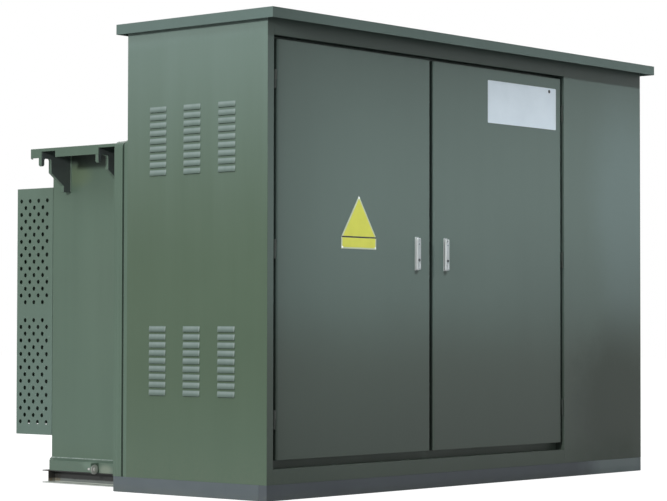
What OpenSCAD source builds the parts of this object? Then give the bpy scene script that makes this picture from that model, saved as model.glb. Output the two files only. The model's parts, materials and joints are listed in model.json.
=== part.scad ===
// Compact substation: a sheet-steel switch cabinet with two doors in front of
// an oil-filled transformer tank with panel radiators at the back.
// The origin is on the ground, under the middle of the whole. The doors face -Y.
// Inside the modules y is counted from the cabinet's front face.

/* [Cabinet] */
// Height from the ground to the top of the roof
total_h = 2300; // [2260:10:2400]
// Width over the side walls
cab_w = 3160; // [3000:10:3400]
// Depth over the side walls
cab_d = 930; // [860:10:1000]
// Thickness of the cabinet's sheet steel
sheet = 3; // [2:0.5:4]
// Height of the base frame
base_h = 75; // [60:5:90]
// Flange width of the base frame's channels
base_b = 50; // [40:5:60]
// Wall thickness of the base frame's channels
base_t = 5; // [4:1:8]

/* [Roof] */
// Height of the roof's folded edge
roof_lip = 50; // [30:5:70]
// Roof overhang at the front
roof_front = 70; // [50:5:100]
// Roof overhang at each side
roof_side = 42; // [20:2:60]
// Roof overhang at the back
roof_rear = 41; // [20:1:60]

/* [Door frame] */
// Width of the left corner post
post_w = 45; // [35:5:60]
// Width of the door opening
open_w = 2360; // [2250:10:2450]
// Height of the opening's lower edge above the ground
open_z0 = 147; // [120:1:170]
// Distance of the opening's upper edge below the roof's top
open_top = 118; // [100:1:160]
// Depth of the frame behind the front face
frame_d = 60; // [55:1:80]
// How far the stop strips reach behind the doors
stop_lap = 25; // [15:1:40]

/* [Doors] */
// Width of the left door
left_door_w = 1162; // [1000:1:1200]
// Thickness of the doors
door_d = 40; // [30:1:42]
// How far the doors lie behind the frame's face
door_back = 10; // [5:1:12]
// Radius of the doors' folded side edges
door_edge_r = 12; // [5:1:18]
// Gap beside the left door, at its hinges
left_gap = 33; // [28:1:40]
// Gap beside the right door, at its hinges
right_gap = 13; // [12:0.5:20]
// Gap between the doors
centre_gap = 25; // [15:1:35]
// Gap over the doors
top_gap = 16; // [8:1:30]
// Gap under the doors
bottom_gap = 41; // [10:1:50]
// Width of the folded rim at the back of the doors
door_rim = 25; // [15:1:40]
// Width of the stiffeners inside the doors
rib_w = 60; // [40:5:80]
// Depth of the stiffeners inside the doors
rib_d = 20; // [10:1:24]

/* [Hinges] */
// Height of one hinge
hinge_h = 90; // [60:5:120]
// Radius of the left hinges' knuckles
left_knuckle_r = 8; // [7:0.5:9]
// Radius of the left hinges' pins
left_pin_r = 4; // [3:0.5:5]
// Radius of the right hinges' knuckles
right_knuckle_r = 4.5; // [4:0.1:5]
// Radius of the right hinges' pins
right_pin_r = 2.5; // [2:0.1:3]
// Distance of the left hinge pins behind the frame's face
left_pin_y = 12; // [11:0.5:14]
// Distance of the right hinge pins behind the frame's face
right_pin_y = 8; // [6:0.5:9]
// Distance of the outer hinges from the doors' ends
hinge_inset = 190; // [150:10:260]

/* [Handles] */
// Width of a handle
handle_w = 26; // [22:1:32]
// Height of a handle
handle_h = 168; // [150:1:190]
// Height of a handle's lower end above the ground
handle_z = 1097; // [900:1:1200]
// Distance of the left handle's middle from its door's free edge
left_handle_in = 112; // [80:1:130]
// Distance of the right handle's middle from its door's free edge
right_handle_in = 97; // [80:1:130]
// Thickness of the handle's back plate
handle_plate_t = 4; // [3:0.5:6]
// Gap between the back plate and the lever
lever_gap = 5; // [5:0.5:6]
// Thickness of the lever
lever_t = 10; // [8:1:12]
// Radius of the lever's pivot pin
lever_pin_r = 2.5; // [2:0.1:3]

/* [Plates on the doors] */
// Thickness of the plates
plate_t = 1.5; // [1:0.5:3]
// Width of the triangular sign and of the strip under it
sign_w = 264; // [200:1:300]
// Height of the triangle
sign_h = 202; // [150:1:240]
// Height of the strip under the triangle
strip_h = 58; // [30:1:70]
// Height of the sign's lower edge above the ground
sign_z = 1192; // [1000:1:1400]
// Distance of the sign's middle from the left door's hinge edge
sign_x = 598; // [400:1:800]
// Width of the name plate
name_w = 615; // [400:5:700]
// Height of the name plate
name_h = 224; // [150:2:260]
// Distance of the name plate from the right door's hinge edge
name_x = 51; // [20:1:100]
// Distance of the name plate from the right door's top
name_top = 59; // [30:1:100]

/* [Louvres] */
// Width of one louvre
louvre_w = 112; // [90:1:150]
// Height of one louvre's hood
louvre_h = 24; // [16:1:30]
// How far a hood stands out
louvre_out = 11; // [6:1:16]
// Distance between the louvres in a column
louvre_pitch = 38.5; // [36:0.5:45]
// Louvres in a column
louvre_rows = 9; // [5:1:10]
// Distance between the columns
column_pitch = 229; // [200:1:250]
// Columns in a group
louvre_columns = 3; // [2:1:3]
// Distance of the first column's middle behind the front face
column_y = 260; // [200:1:280]
// Height of the upper group's middle
upper_group_z = 1712; // [1600:1:1800]
// Height of the lower group's middle
lower_group_z = 645; // [500:1:700]

/* [Flange between cabinet and tank] */
// How far the cabinet's flange frame stands above the tank's lid
flange_step = 11; // [6:1:20]
// How far the tank's front plate stands above the lid
plate_step = 4; // [1:1:10]
// Thickness of the cabinet's flange frame
flange_a = 24; // [18:1:35]
// Thickness of the seal
seal_t = 12; // [8:1:20]
// Thickness of the tank's front plate with its rim
flange_b = 58; // [40:1:70]
// Width of the flange frame's bars
flange_bar = 50; // [40:5:70]
// How far the seal lies inside the bars' edge
seal_in = 8; // [4:1:15]
// Thickness of the tank's front plate
front_plate_t = 6; // [4:1:10]
// Radius of the flanges' upper corners
flange_r = 38; // [15:1:45]

/* [Tank] */
// Width of the tank
tank_w = 2624; // [2500:2:2700]
// Depth of the tank
tank_d = 738; // [650:1:800]
// Height of the lid's top above the ground
lid_top = 1726; // [1700:1:1740]
// Height of the lid's folded edge
lid_lip = 48; // [40:1:55]
// How far the lid stands out at each side
lid_side_w = 208; // [190:1:230]
// Size of the cut on the lid's rear corners
lid_cut = 57; // [30:1:80]
// Thickness of the lid's plate
lid_t = 6; // [4:1:8]
// Width of the notches in the lid's edge before the rear lugs
notch_w = 103; // [60:1:110]
// Height of the notches in the lid's edge
notch_h = 32; // [20:1:34]
// Height of the skirt's upright face
skirt_h = 52; // [40:1:60]
// How far the skirt stands out
skirt_out = 58; // [40:1:70]
// How much the skirt's top rises towards the tank
skirt_slope = 10; // [5:1:15]
// Size of the cut on the skirt's rear corners
skirt_cut = 47; // [20:1:55]

/* [Lifting lugs] */
// Thickness of a lug
lug_t = 22; // [16:1:30]
// Width of a lug's body
lug_w = 139; // [125:1:150]
// Height of a lug's foot on the wall
lug_z0 = 1509; // [1460:1:1520]
// Width of a lug's foot
lug_foot_w = 52; // [30:1:70]
// Height of the upright edge of a lug's foot
lug_foot_h = 31; // [15:1:40]
// Height of the lower corner of a lug's body
lug_z1 = 1604; // [1580:1:1620]
// Height of the lower end of a lug's finger
finger_z = 1635; // [1625:1:1645]
// Width of a lug's finger
finger_w = 22; // [18:1:26]
// Height of the top of a lug's slot
slot_top = 1676; // [1668:1:1677]
// Radius of the upper corners of a lug's slot
slot_r = 12; // [6:1:18]
// Distance of the front lugs behind the tank's front
front_lug_y = 178; // [150:1:240]
// Distance of the rear lugs before the tank's back
rear_lug_y = 116; // [80:1:150]

/* [Channels under the tank] */
// Height of the channels
channel_h = 66; // [60:1:80]
// Flange width of the channels
channel_b = 50; // [40:1:56]
// Wall thickness of the channels
channel_t = 5; // [4:0.5:8]
// How far the rear channel reaches past the tank
channel_past = 7; // [0:1:15]
// Distance of the front channel behind the tank's front
front_channel_y = 60; // [20:5:100]

/* [Earthing terminal] */
// Distance of the terminal behind the tank's front
earth_y = 322; // [250:1:450]
// How far the lug stands out from the skirt
earth_out = 52; // [46:1:60]
// Thickness of the lug
earth_t = 6; // [5:1:8]
// Distance of the bolt's axis from the skirt
bolt_out = 30; // [24:1:34]
// Height of the bolt's axis above the ground
earth_z = 86; // [85:1:95]
// Radius of the bolt
earth_r = 6; // [5:0.5:6]
// Length of the bolt's free end past its nut
earth_free = 24; // [15:1:30]

/* [Radiators] */
// Number of radiators
rad_count = 5; // [4:1:5]
// Gap between two radiators
rad_gap = 44; // [20:1:60]
// Gap between the outermost radiators and the guards' sheets
rad_clear = 18; // [10:1:40]
// Gap between the tank and the panels
rad_front = 25; // [15:1:40]
// Gap between the panels and the guards' rear edge
rad_back = 20; // [10:1:40]
// Height of the panels' lower edge above the ground
rad_z0 = 300; // [250:5:350]
// Height of the panels' upper edge above the ground
rad_z1 = 1505; // [1400:5:1520]
// Panels in a radiator
fin_count = 11; // [6:1:12]
// Thickness of a panel at its edge
fin_t = 4; // [3:0.5:5]
// Thickness of a panel at its flutes
flute_t = 12; // [8:1:14]
// Width of one flute
flute_w = 46; // [36:1:50]
// Flutes in a panel
flute_count = 4; // [3:1:4]
// Height of a panel's plain edge above and below the flutes
flute_end = 40; // [30:1:50]
// Width of a panel's plain edge beside the flutes
flute_edge = 12; // [8:1:16]
// Radius of the header pipes
header_r = 28; // [22:1:34]
// Distance of the header pipes from the panels' ends
header_in = 75; // [60:1:90]
// Distance of the header pipes' axes behind the tank
header_y = 75; // [65:1:90]
// Radius of the stubs between the header pipes and the tank
stub_r = 22; // [16:1:26]
// Distance between a radiator's two stubs
stub_span = 240; // [160:10:300]

/* [Radiator guards] */
// Depth of a guard
guard_d = 276; // [260:1:300]
// Gap between the tank and a guard
guard_gap = 6; // [5:1:20]
// How far a guard lies inside the tank's side
guard_in = 5; // [0:1:12]
// Thickness of the guard's sheet
guard_t = 2.5; // [2:0.5:3]
// Width of the guard's folded edges
guard_fold = 40; // [20:1:50]
// Height of a guard's lower edge above the ground
guard_z0 = 243; // [220:1:260]
// Height of a guard's upper edge above the ground
guard_z1 = 1541; // [1535:1:1560]
// Radius of the guard's holes
hole_r = 11; // [8:0.5:12]
// Distance between the holes in a row
hole_pitch = 67; // [60:1:70]
// Distance between the rows
row_pitch = 35.7; // [34:0.1:36]
// Rows in each of the two groups
guard_rows = 16; // [8:2:16]
// Distance of the outermost holes from the rear edge
hole_edge = 31; // [27:1:36]
// Distance of the outermost rows from the guard's ends
row_edge = 66; // [50:1:80]
// Thickness of the guard's brackets
bracket_t = 4; // [3:0.5:6]
// Height of the guard's brackets
bracket_h = 60; // [40:1:80]
// Width of the brackets' leg on the tank
bracket_leg = 40; // [25:1:60]

/* [Hidden] */
$fn = 48;

green = [0.30, 0.38, 0.33];
shade_green = [0.26, 0.32, 0.29];
base_grey = [0.38, 0.41, 0.42];
silver = [0.78, 0.80, 0.82];
over = 1;                                    // how far a cut runs past a face
run_gap = 0.05;                              // radial clearance of a turning pin
side_gap = 0.5;                              // gap between the faces of a hinge

// the cabinet
side_x = cab_w / 2;
inner_x = side_x - sheet;
roof_under = total_h - sheet;
stop_y = frame_d - sheet;
base_end = cab_d + flange_a + seal_t + flange_b - sheet;
open_x0 = -side_x + post_w;
open_z1 = total_h - open_top;
open_x1 = open_x0 + open_w;

// the doors
door_y0 = door_back;
door_y1 = door_back + door_d;
door_z0 = open_z0 + bottom_gap;
door_z1 = open_z1 - top_gap;
left_x0 = open_x0 + left_gap;
left_x1 = left_x0 + left_door_w;
right_x0 = left_x1 + centre_gap;
right_x1 = open_x1 - right_gap;

// the hinges
left_pin_x = (open_x0 + left_x0) / 2;
right_pin_x = (open_x1 + right_x1) / 2;
knuckle_h = (hinge_h - side_gap) / 2;
hinge_zs = [door_z0 + hinge_inset, (door_z0 + door_z1) / 2, door_z1 - hinge_inset];
leaf_t = 2.5;
leaf_in = 5;                                 // the leaves end this far before the doors' back
leaf_y1 = door_y1 - leaf_in;

// the handles
lever_y1 = door_y0 - handle_plate_t - lever_gap;
lever_y0 = lever_y1 - lever_t;
lever_pin_y = (lever_y0 + lever_y1) / 2;
pin_in = 11;                                 // distance of the pivot pin below the handle's top
lever_pin_z = handle_z + handle_h - pin_in;
tongue_w = 10;
ear_gap = 1;
ear_drop = 3;                                // how far the ears hang below the tongue
lever_up = 4;                                // the lever ends this far above the back plate's end

// the tank
flange_top = lid_top + flange_step;
plate_top = lid_top + plate_step;
tank_x = tank_w / 2;
tank_y0 = cab_d + flange_a + seal_t + flange_b;
tank_y1 = tank_y0 + tank_d;
lid_under = lid_top - lid_t;
lid_z0 = lid_top - lid_lip;
lid_x = tank_x + lid_side_w;
skirt_top = channel_h + skirt_h + skirt_slope;
front_lug = tank_y0 + front_lug_y;
rear_lug = tank_y1 - rear_lug_y - lug_t;
lug_out = lid_side_w;
slot_w = lug_out - lug_w - finger_w;
skirt_x = tank_x + skirt_out;
rear_web = tank_y1 + channel_past - channel_b;

// the earthing terminal
earth_x = -skirt_x - bolt_out;
earth_foot = 4;                              // gap between the lug and the channel under it
bolt_gap = 0.5;                              // radial clearance of the bolt in the lug
earth_y0 = tank_y0 + earth_y;
washer_r = 2.6 * earth_r;
washer_t = 2.5;
nut_r = 1.85 * earth_r;
nut_t = 10;
head_t = 8;
stud_y0 = earth_y0 + earth_t + washer_t + nut_t;

// the radiators and guards
guard_y0 = tank_y1 + guard_gap;
guard_y1 = guard_y0 + guard_d;
guard_x = tank_x - guard_in;
rad_w = (2 * (guard_x - guard_t - rad_clear) - (rad_count - 1) * rad_gap) / rad_count;
rad_pitch = rad_w + rad_gap;
rad_y0 = tank_y1 + rad_front;
rad_y1 = guard_y1 - rad_back;
fin_pitch = (rad_w - flute_t) / (fin_count - 1);
flute_pitch = (rad_y1 - rad_y0 - flute_w - 2 * flute_edge) / (flute_count - 1);
hole_columns = floor((guard_d - 2 * hole_edge) / hole_pitch + 0.2) + 1;

// the whole reaches from the roof's front edge to the guards' back
front_y = -(guard_y1 - roof_front) / 2;

module place() { translate([0, front_y, 0]) children(); }

module block(low, high) { translate(low) cube(high - low); }

module both_sides() {
    children();
    mirror([1, 0, 0]) children();
}

// a flat shape drawn in x and z, from y0 to y1
module upright(y0, y1) { translate([0, y1, 0]) rotate([90, 0, 0]) linear_extrude(y1 - y0) children(); }

// ---- cabinet ----

// a channel with closed ends, its open side turned inwards
module base_front() {
    color(base_grey) place() difference() {
        block([-side_x, 0, 0], [side_x, base_b, base_h]);
        block([-side_x + base_t, base_t, base_t], [side_x - base_t, base_b + over, base_h - base_t]);
    }
}

module base_sides() {
    color(base_grey) place() both_sides() difference() {
        block([-side_x, base_b, 0], [-side_x + base_b, base_end, base_h]);
        block([-side_x + base_t, base_b + base_t, base_t],
              [-side_x + base_b + over, base_end - base_t, base_h - base_t]);
    }
}

module base_rear() {
    color(base_grey) place() difference() {
        block([-side_x + base_b, base_end - base_b, 0], [side_x - base_b, base_end, base_h]);
        block([-side_x + base_b - over, base_end - base_b - over, base_t],
              [side_x - base_b + over, base_end - base_t, base_h - base_t]);
    }
}

module cabinet_floor() {
    color(base_grey) place()
        block([-inner_x, frame_d, base_h], [inner_x, cab_d - sheet, base_h + sheet]);
}

// the pressed hood of one louvre, open underneath, standing out towards -x
module louvre_hood(out, h) {
    polygon([[0, h], [-out * 0.55, h * 0.78], [-out, h * 0.34], [-out, 0], [0, 0]]);
}

module louvre() {
    t = sheet * 0.6;
    rotate([90, 0, 0]) translate([0, 0, -louvre_w / 2]) linear_extrude(louvre_w) difference() {
        louvre_hood(louvre_out, louvre_h);
        translate([t, -t]) louvre_hood(louvre_out, louvre_h);
    }
    for (y = [-louvre_w / 2 + t, louvre_w / 2])
        translate([0, y, 0]) rotate([90, 0, 0]) linear_extrude(t) louvre_hood(louvre_out, louvre_h);
}

module louvre_places() {
    for (group_z = [lower_group_z, upper_group_z])
        for (column = [0 : louvre_columns - 1])
            for (row = [0 : louvre_rows - 1])
                translate([-side_x, column_y + column * column_pitch,
                           group_z + (row - (louvre_rows - 1) / 2) * louvre_pitch - louvre_h / 2])
                    children();
}

module side_wall() {
    difference() {
        block([-side_x, 0, base_h], [-inner_x, cab_d, roof_under]);
        louvre_places()
            block([-over, -louvre_w / 2 + sheet, 0], [sheet + over, louvre_w / 2 - sheet, louvre_h * 0.6]);
    }
    louvre_places() louvre();
}

module side_wall_left() { color(green) place() side_wall(); }

module side_wall_right() { color(green) place() mirror([1, 0, 0]) side_wall(); }

module rear_wall() {
    color(green) place() block([-inner_x, cab_d - sheet, base_h], [inner_x, cab_d, roof_under]);
}

module roof() {
    x = side_x + roof_side;
    color(green) place() difference() {
        block([-x, -roof_front, total_h - roof_lip], [x, cab_d + roof_rear, total_h]);
        block([-x + sheet, -roof_front + sheet, total_h - roof_lip - over],
              [x - sheet, cab_d + roof_rear - sheet, roof_under]);
    }
}

// ---- door frame ----

module corner_post() {
    color(shade_green) place() {
        block([-inner_x, 0, base_h], [open_x0, sheet, roof_under]);
        block([open_x0 - sheet, 0, base_h], [open_x0, stop_y, roof_under]);
    }
}

module top_rail() {
    color(shade_green) place() {
        block([open_x0, 0, open_z1], [open_x1, sheet, roof_under]);
        block([open_x0, 0, open_z1], [open_x1, stop_y, open_z1 + sheet]);
    }
}

module sill() {
    color(shade_green) place() {
        block([open_x0, 0, base_h], [open_x1, sheet, open_z0]);
        block([open_x0, 0, open_z0 - sheet], [open_x1, stop_y, open_z0]);
    }
}

module fixed_panel() {
    color(shade_green) place() {
        block([open_x1, 0, base_h], [inner_x, sheet, roof_under]);
        block([open_x1, 0, base_h], [open_x1 + sheet, stop_y, roof_under]);
    }
}

// the strips that the closed doors lie in front of
module door_stop() {
    color(shade_green) place() difference() {
        block([open_x0 - sheet, stop_y, open_z0 - sheet], [open_x1 + sheet, frame_d, open_z1 + sheet]);
        block([left_x0 + stop_lap, stop_y - over, door_z0 + stop_lap],
              [right_x1 - stop_lap, frame_d + over, door_z1 - stop_lap]);
    }
}

// ---- doors ----

// a door's plan between x0 and x1, with rounded front corners, shrunk by t
module door_plan(x0, x1, t) {
    r = door_edge_r - t;
    translate([x0 + t, door_y0 + door_edge_r]) square([x1 - x0 - 2 * t, door_d - door_edge_r - t]);
    translate([x0 + door_edge_r, door_y0 + t]) square([x1 - x0 - 2 * door_edge_r, door_edge_r]);
    for (x = [x0 + door_edge_r, x1 - door_edge_r])
        translate([x, door_y0 + door_edge_r]) circle(r);
}

module door(x0, x1) {
    h = door_z1 - door_z0;
    difference() {
        translate([0, 0, door_z0]) linear_extrude(h) door_plan(x0, x1, 0);
        translate([0, 0, door_z0 + sheet]) linear_extrude(h - 2 * sheet) door_plan(x0, x1, sheet);
        block([x0 + door_rim, door_y1 - sheet - over, door_z0 + door_rim],
              [x1 - door_rim, door_y1 + over, door_z1 - door_rim]);
    }
    for (share = [1, 2]) {
        x = x0 + (x1 - x0) * share / 3;
        block([x - rib_w / 2, door_y0 + sheet / 2, door_z0 + sheet / 2],
              [x + rib_w / 2, door_y0 + sheet + rib_d, door_z1 - sheet / 2]);
    }
}

module door_left() { color(shade_green) place() door(left_x0, left_x1); }

module door_right() { color(shade_green) place() door(right_x0, right_x1); }

// ---- hinges ----

module hinge_places(x, y) {
    for (z = hinge_zs) translate([x, y, z - hinge_h / 2]) children();
}

// the lower knuckle on the frame, with its leaf at leaf_x and the pin that carries the door
module frame_hinge(knuckle_r, pin_r, leaf_x, pin_y) {
    side = sign(leaf_x);
    cylinder(h = knuckle_h, r = knuckle_r);
    cylinder(h = hinge_h, r = pin_r);
    block([min(leaf_x, leaf_x - side * leaf_t), -2, 0],
          [max(leaf_x, leaf_x - side * leaf_t), leaf_y1 - pin_y, knuckle_h]);
    block([min(0, leaf_x), -2, 0], [max(0, leaf_x), 2, knuckle_h]);
}

// the upper knuckle on the door, with its leaf at leaf_x
module door_hinge(knuckle_r, pin_r, leaf_x, pin_y) {
    side = sign(leaf_x);
    translate([0, 0, knuckle_h + side_gap]) difference() {
        union() {
            cylinder(h = knuckle_h, r = knuckle_r);
            block([min(leaf_x, leaf_x - side * leaf_t), -2, 0],
                  [max(leaf_x, leaf_x - side * leaf_t), leaf_y1 - pin_y, knuckle_h]);
            block([min(0, leaf_x), -2, 0], [max(0, leaf_x), 2, knuckle_h]);
        }
        translate([0, 0, -over]) cylinder(h = knuckle_h + 2 * over, r = pin_r + run_gap);
    }
}

module frame_hinges() {
    color(shade_green) place() {
        hinge_places(left_pin_x, left_pin_y)
            frame_hinge(left_knuckle_r, left_pin_r, open_x0 - left_pin_x, left_pin_y);
        hinge_places(right_pin_x, right_pin_y)
            frame_hinge(right_knuckle_r, right_pin_r, open_x1 - right_pin_x, right_pin_y);
    }
}

module door_hinges_left() {
    color(shade_green) place() hinge_places(left_pin_x, left_pin_y)
        door_hinge(left_knuckle_r, left_pin_r, left_x0 - left_pin_x, left_pin_y);
}

module door_hinges_right() {
    color(shade_green) place() hinge_places(right_pin_x, right_pin_y)
        door_hinge(right_knuckle_r, right_pin_r, right_x1 - right_pin_x, right_pin_y);
}

// ---- handles ----

// the back plate, with the tongue that the lever hangs on and the stop under it
module handle_base(x) {
    color(silver) place() difference() {
        union() {
            block([x - handle_w / 2, door_y0 - handle_plate_t, handle_z],
                  [x + handle_w / 2, door_y0, handle_z + handle_h]);
            block([x - tongue_w / 2, lever_pin_y, lever_pin_z - lever_t / 2],
                  [x + tongue_w / 2, door_y0, lever_pin_z + lever_t / 2]);
            translate([x - tongue_w / 2, lever_pin_y, lever_pin_z]) rotate([0, 90, 0])
                cylinder(h = tongue_w, r = lever_t / 2);
        }
        translate([x - handle_w, lever_pin_y, lever_pin_z]) rotate([0, 90, 0])
            cylinder(h = 2 * handle_w, r = lever_pin_r + run_gap);
    }
}

// the lever, with the ears and the pin that it turns on
module handle_lever(x) {
    low_z = handle_z + lever_up;
    ear_z = lever_pin_z - lever_t / 2 - ear_drop;
    color(silver) place() {
        block([x - handle_w / 2, lever_y0, low_z], [x + handle_w / 2, lever_y1, ear_z]);
        for (x0 = [x - handle_w / 2, x + tongue_w / 2 + ear_gap]) {
            block([x0, lever_y0, ear_z], [x0 + (handle_w - tongue_w) / 2 - ear_gap, lever_y1, lever_pin_z]);
            translate([x0, lever_pin_y, lever_pin_z]) rotate([0, 90, 0])
                cylinder(h = (handle_w - tongue_w) / 2 - ear_gap, r = lever_t / 2);
        }
        translate([x - handle_w / 2, lever_pin_y, lever_pin_z]) rotate([0, 90, 0])
            cylinder(h = handle_w, r = lever_pin_r);
    }
}

module handle_base_left() { handle_base(left_x1 - left_handle_in); }

module handle_base_right() { handle_base(right_x0 + right_handle_in); }

module handle_lever_left() { handle_lever(left_x1 - left_handle_in); }

module handle_lever_right() { handle_lever(right_x0 + right_handle_in); }

// ---- plates on the doors ----

module sign_plate() {
    color([0.86, 0.82, 0.20]) place() translate([left_x0 + sign_x, 0, sign_z])
        upright(door_y0 - plate_t, door_y0) {
            translate([-sign_w / 2, 0]) square([sign_w, strip_h]);
            polygon([[-sign_w / 2, strip_h], [sign_w / 2, strip_h], [0, strip_h + sign_h]]);
        }
}

module name_plate() {
    color([0.85, 0.88, 0.92]) place()
        block([right_x1 - name_x - name_w, door_y0 - plate_t, door_z1 - name_top - name_h],
              [right_x1 - name_x, door_y0, door_z1 - name_top]);
}

// ---- flange between cabinet and tank ----

// an upright plate with rounded upper corners
module arched_plate(half_w, z0, z1, r) {
    translate([-half_w, z0]) square([2 * half_w, z1 - z0 - r]);
    translate([-half_w + r, z0]) square([2 * (half_w - r), z1 - z0]);
    for (x = [-half_w + r, half_w - r]) translate([x, z1 - r]) circle(r);
}

module flange_window(bar, z1) {
    translate([-side_x + bar, base_h + bar]) square([2 * (side_x - bar), z1 - base_h - 2 * bar]);
}

module flange_frame() {
    color(green) place() upright(cab_d, cab_d + flange_a) difference() {
        arched_plate(side_x, base_h, flange_top, flange_r);
        flange_window(flange_bar, flange_top);
    }
}

module flange_seal() {
    color([0.12, 0.13, 0.13]) place() upright(cab_d + flange_a, cab_d + flange_a + seal_t) difference() {
        arched_plate(side_x - seal_in, base_h + seal_in, flange_top - seal_in, flange_r - seal_in);
        flange_window(flange_bar, flange_top);
    }
}

// the tank's front plate, with a rim of bars on its front
module tank_front_plate() {
    color(green) place() {
        upright(tank_y0 - flange_b, tank_y0 - front_plate_t) difference() {
            arched_plate(side_x, base_h, plate_top, flange_r);
            flange_window(flange_bar, flange_top);
        }
        upright(tank_y0 - front_plate_t, tank_y0) arched_plate(side_x, base_h, plate_top, flange_r);
    }
}

// ---- tank ----

module tank_body() {
    color(green) place() block([-tank_x, tank_y0, channel_h], [tank_x, tank_y1, lid_under]);
}

// the lid's plan from y0 on, with its cut rear corners, shrunk by t at the sides and the back
module lid_plan(y0, t) {
    x = lid_x - t;
    y1 = tank_y1 - t;
    polygon([[-x, y0], [x, y0], [x, y1 - lid_cut], [x - lid_cut, y1],
             [-x + lid_cut, y1], [-x, y1 - lid_cut]]);
}

module tank_lid() {
    color(green) place() difference() {
        translate([0, 0, lid_z0]) linear_extrude(lid_lip) lid_plan(tank_y0, 0);
        translate([0, 0, lid_z0 - over]) linear_extrude(lid_under - lid_z0 + over)
            lid_plan(tank_y0 - over, lid_t);
        block([-lid_x + lid_cut, tank_y1 - lid_t - over, lid_z0 - over],
              [lid_x - lid_cut, tank_y1 + over, lid_under]);
        block([-lid_x - over, tank_y0 - over, lid_z0 - over], [lid_x + over, front_lug, lid_z0 + notch_h]);
        block([-lid_x - over, rear_lug - notch_w, lid_z0 - over], [lid_x + over, rear_lug, lid_z0 + notch_h]);
    }
}

// a lug's outline, drawn from the wall outwards towards -x
module lug_outline() {
    finger_r = finger_w / 2;
    difference() {
        union() {
            polygon([[0, lug_z0], [-lug_foot_w, lug_z0], [-lug_foot_w, lug_z0 + lug_foot_h],
                     [-lug_w, lug_z1], [-lug_w, lid_z0], [-lug_out + lid_t, lid_z0],
                     [-lug_out + lid_t, lid_under], [0, lid_under]]);
            translate([-lug_out, finger_z + finger_r]) square([finger_w, lid_z0 - finger_z - finger_r]);
            translate([-lug_out + finger_r, finger_z + finger_r]) circle(finger_r);
            translate([-lug_w - slot_w, slot_top - slot_r]) square([slot_w, lid_z0 - slot_top + slot_r]);
        }
        for (x = [-lug_w - slot_r, -lug_w - slot_w + slot_r])
            translate([x, slot_top - slot_r]) circle(slot_r);
        translate([-lug_w - slot_w + slot_r, slot_top - slot_r]) square([slot_w - 2 * slot_r, slot_r]);
        translate([-lug_w - slot_w, finger_z]) square([slot_w, slot_top - slot_r - finger_z]);
    }
}

module lugs() {
    for (y = [front_lug, rear_lug])
        translate([-tank_x, 0, 0]) upright(y, y + lug_t) lug_outline();
}

module lifting_lugs_left() { color(green) place() lugs(); }

module lifting_lugs_right() { color(green) place() mirror([1, 0, 0]) lugs(); }

// a skirt along each side of the tank's foot, with a sloping top and a cut rear corner
module tank_skirt() {
    color(green) place() both_sides() intersection() {
        translate([-tank_x, tank_y1, 0]) rotate([90, 0, 0]) linear_extrude(tank_d)
            polygon([[0, channel_h], [0, skirt_top], [-skirt_out, channel_h + skirt_h], [-skirt_out, channel_h]]);
        linear_extrude(skirt_top + over)
            polygon([[-tank_x, tank_y0], [-skirt_x, tank_y0], [-skirt_x, tank_y1 - skirt_cut],
                     [-skirt_x + skirt_cut, tank_y1], [-tank_x, tank_y1]]);
    }
}

// ---- channels under the tank ----

module side_channels() {
    color([0.36, 0.37, 0.34]) place() both_sides() difference() {
        block([-skirt_x, tank_y0, 0], [-skirt_x + channel_b, rear_web, channel_h]);
        block([-skirt_x - over, tank_y0 - over, channel_t],
              [-skirt_x + channel_b - channel_t, rear_web + over, channel_h - channel_t]);
    }
}

module cross_channels() {
    front_x = skirt_x - channel_b;
    front_y0 = tank_y0 + front_channel_y;
    color([0.36, 0.37, 0.34]) place() {
        difference() {
            block([-skirt_x, rear_web, 0], [skirt_x, rear_web + channel_b, channel_h]);
            block([-skirt_x - over, rear_web + channel_t, channel_t],
                  [skirt_x + over, rear_web + channel_b + over, channel_h - channel_t]);
        }
        difference() {
            block([-front_x, front_y0, 0], [front_x, front_y0 + channel_b, channel_h]);
            block([-front_x - over, front_y0 + channel_t, channel_t],
                  [front_x + over, front_y0 + channel_b + over, channel_h - channel_t]);
        }
    }
}

// ---- earthing terminal on the skirt's left side ----

module along_y(y) { translate([earth_x, y, earth_z]) rotate([-90, 0, 0]) children(); }

module earth_lug() {
    color(green) place() difference() {
        block([-skirt_x - earth_out, earth_y0, channel_h + earth_foot],
              [-skirt_x, earth_y0 + earth_t, channel_h + skirt_h]);
        along_y(earth_y0 - over) cylinder(h = earth_t + 2 * over, r = earth_r + bolt_gap);
    }
}

module earth_bolt() {
    color(silver) place() {
        along_y(earth_y0 - head_t - washer_t) cylinder(h = head_t, r = nut_r, $fn = 6);
        along_y(earth_y0 - washer_t) cylinder(h = washer_t, r = washer_r);
        along_y(earth_y0 - washer_t) cylinder(h = stud_y0 + earth_free - earth_y0 + washer_t, r = earth_r);
        along_y(earth_y0 + earth_t) cylinder(h = washer_t, r = washer_r);
        along_y(earth_y0 + earth_t + washer_t) cylinder(h = nut_t, r = nut_r, $fn = 6);
    }
}

// ---- radiators ----

// one upright panel, square to the tank's back
module radiator_panel() {
    block([-fin_t / 2, rad_y0, rad_z0], [fin_t / 2, rad_y1, rad_z1]);
    for (i = [0 : flute_count - 1])
        translate([0, rad_y0 + flute_edge + i * flute_pitch, 0])
            block([-flute_t / 2, 0, rad_z0 + flute_end], [flute_t / 2, flute_w, rad_z1 - flute_end]);
}

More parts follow.
